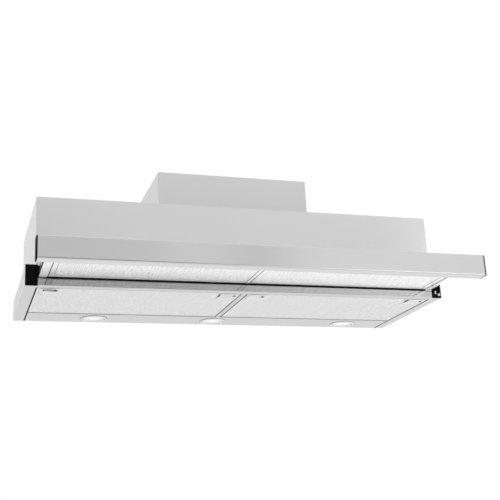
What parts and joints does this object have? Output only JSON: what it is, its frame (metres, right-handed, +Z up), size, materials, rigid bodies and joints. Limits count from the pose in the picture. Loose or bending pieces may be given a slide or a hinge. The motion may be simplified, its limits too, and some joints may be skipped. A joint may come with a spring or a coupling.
{
  "type": "pull out range hood",
  "caption": "Slim pull-out range hood: cabinet casing with motor box and duct collar, tray with grease cassettes and lamps, and a telescopic drawer with a steel front.",
  "frame": {"origin": "middle of the back face, which stands against the wall, at the height of the wall cabinet's underside (the tray's top shoulders)", "axes": "+X to the right as seen from the front, +Y towards the wall, +Z up. The drawer runs out towards -Y and is out at rest, as in the picture."},
  "size_m": [0.898, 0.5055, 0.299],
  "materials": {
    "casing_steel": "satin silver-grey paint",
    "motor_box_steel": "satin silver-grey paint",
    "tray_steel": "satin silver-grey paint",
    "lip_steel": "bright brushed steel",
    "drawer_steel": "satin silver-grey paint",
    "panel_steel": "fine brushed, along the width",
    "black_plastic": "fine matt black",
    "seal_rubber": "matt black",
    "slide_steel": "bright zinc",
    "filter_aluminium": "satin",
    "mesh_aluminium": "fine expanded mesh",
    "latch_plastic": "satin grey",
    "lamp_metal": "satin",
    "lens_plastic": "frosted white",
    "knob_plastic": "silver",
    "fan_plastic": "matt dark grey",
    "motor_metal": "bare pressed steel",
    "zinc_steel": "zinc plated",
    "collar_plastic": "matt black",
    "box_plastic": "matt off-white",
    "board_green": "solder mask green",
    "terminal_plastic": "off-white",
    "plunger_plastic": "red",
    "screw_steel": "zinc plated"
  },
  "bodies": {
    "hood": {"upper_casing": "casing_steel", "casing_top": "casing_steel", "casing_back": "casing_steel", "motor_housing": "motor_box_steel", "left_side_channel": "tray_steel", "right_side_channel": "tray_steel", "lamp_panel": "tray_steel", "front_lip": "lip_steel", "lip_seal": "seal_rubber", "filter_divider": "tray_steel", "left_end_plate": "black_plastic", "right_control_plate": "black_plastic", "left_outer_slide": "slide_steel", "right_outer_slide": "slide_steel", "lamp_left_body": "lamp_metal", "lamp_centre_body": "lamp_metal", "lamp_right_body": "lamp_metal", "lamp_left_lens": "lens_plastic", "lamp_centre_lens": "lens_plastic", "lamp_right_lens": "lens_plastic", "fan_volute": "fan_plastic", "volute_cover": "fan_plastic", "motor": "motor_metal", "motor_bracket": "zinc_steel", "outlet_transition": "fan_plastic", "outlet_collar": "collar_plastic", "flap_pin": "zinc_steel", "electronics_box": "box_plastic", "circuit_board": "board_green", "terminal_block": "terminal_plastic", "cable_gland": "black_plastic", "microswitch": "black_plastic", "casing_screws": "screw_steel"},
    "drawer": {"drawer_frame": "drawer_steel", "drawer_top_plate": "drawer_steel", "front_panel": "panel_steel", "panel_caps": "black_plastic", "panel_screws": "screw_steel", "left_inner_slide": "slide_steel", "right_inner_slide": "slide_steel"},
    "left_middle": {"left_middle_slide": "slide_steel"},
    "right_middle": {"right_middle_slide": "slide_steel"},
    "drawer_filter_left": {"drawer_filter_left_frame": "filter_aluminium", "drawer_filter_left_mesh": "mesh_aluminium"},
    "drawer_filter_right": {"drawer_filter_right_frame": "filter_aluminium", "drawer_filter_right_mesh": "mesh_aluminium"},
    "filter_left": {"filter_left_frame": "filter_aluminium", "filter_left_mesh": "mesh_aluminium"},
    "filter_right": {"filter_right_frame": "filter_aluminium", "filter_right_mesh": "mesh_aluminium"},
    "left_outer_latch": {"latch_left_outer": "latch_plastic"},
    "left_inner_latch": {"latch_left_inner": "latch_plastic"},
    "right_inner_latch": {"latch_right_inner": "latch_plastic"},
    "right_outer_latch": {"latch_right_outer": "latch_plastic"},
    "impeller_body": {"impeller": "fan_plastic"},
    "front_flap_body": {"front_flap": "collar_plastic"},
    "rear_flap_body": {"rear_flap": "collar_plastic"},
    "speed_knob": {"speed_slider": "knob_plastic"},
    "lamp_knob": {"lamp_switch": "knob_plastic"},
    "plunger": {"switch_plunger": "plunger_plastic"}
  },
  "joints": [
    {"name": "drawer_slide", "type": "slide", "parent": "hood", "child": "drawer", "axis": [0, 1, 0], "range_m": [0, 0.1695]},
    {"name": "left_slide_extend", "type": "slide", "parent": "hood", "child": "left_middle", "axis": [0, 1, 0], "range_m": [0, 0.08475]},
    {"name": "right_slide_extend", "type": "slide", "parent": "hood", "child": "right_middle", "axis": [0, 1, 0], "range_m": [0, 0.08475]},
    {"name": "drawer_filter_left_hinge", "type": "hinge", "parent": "drawer", "child": "drawer_filter_left", "pos_m": [-0.205, -0.3195, -0.0229], "axis": [-1, 0, 0], "range_deg": [-60, 0]},
    {"name": "drawer_filter_right_hinge", "type": "hinge", "parent": "drawer", "child": "drawer_filter_right", "pos_m": [0.205, -0.3195, -0.0229], "axis": [-1, 0, 0], "range_deg": [-60, 0]},
    {"name": "filter_left_hinge", "type": "hinge", "parent": "hood", "child": "filter_left", "pos_m": [-0.2152, -0.0795, -0.0404], "axis": [1, 0, 0], "range_deg": [0, 60]},
    {"name": "filter_right_hinge", "type": "hinge", "parent": "hood", "child": "filter_right", "pos_m": [0.2152, -0.0795, -0.0404], "axis": [1, 0, 0], "range_deg": [0, 60]},
    {"name": "left_outer_latch_slide", "type": "slide", "parent": "filter_left", "child": "left_outer_latch", "axis": [0, 1, 0], "range_m": [0, 0.004], "stiffness_N_per_m": 450},
    {"name": "left_inner_latch_slide", "type": "slide", "parent": "filter_left", "child": "left_inner_latch", "axis": [0, 1, 0], "range_m": [0, 0.004], "stiffness_N_per_m": 450},
    {"name": "right_inner_latch_slide", "type": "slide", "parent": "filter_right", "child": "right_inner_latch", "axis": [0, 1, 0], "range_m": [0, 0.004], "stiffness_N_per_m": 450},
    {"name": "right_outer_latch_slide", "type": "slide", "parent": "filter_right", "child": "right_outer_latch", "axis": [0, 1, 0], "range_m": [0, 0.004], "stiffness_N_per_m": 450},
    {"name": "impeller_spin", "type": "hinge", "parent": "hood", "child": "impeller_body", "pos_m": [0, -0.147, 0.113], "axis": [1, 0, 0], "continuous": true},
    {"name": "front_flap_hinge", "type": "hinge", "parent": "hood", "child": "front_flap_body", "pos_m": [0, -0.098, 0.23725], "axis": [-1, 0, 0], "range_deg": [0, 75]},
    {"name": "rear_flap_hinge", "type": "hinge", "parent": "hood", "child": "rear_flap_body", "pos_m": [0, -0.098, 0.23725], "axis": [1, 0, 0], "range_deg": [0, 75]},
    {"name": "speed_slide", "type": "slide", "parent": "hood", "child": "speed_knob", "axis": [0, 0, 1], "range_m": [0, 0.018]},
    {"name": "lamp_switch_slide", "type": "slide", "parent": "hood", "child": "lamp_knob", "axis": [0, 0, 1], "range_m": [0, 0.006]},
    {"name": "plunger_slide", "type": "slide", "parent": "hood", "child": "plunger", "axis": [0, 1, 0], "range_m": [0, 0.003], "stiffness_N_per_m": 200}
  ],
  "couplings": [
    {"joint": "left_slide_extend", "follows": "drawer_slide", "ratio": 0.5},
    {"joint": "right_slide_extend", "follows": "drawer_slide", "ratio": 0.5}
  ]
}
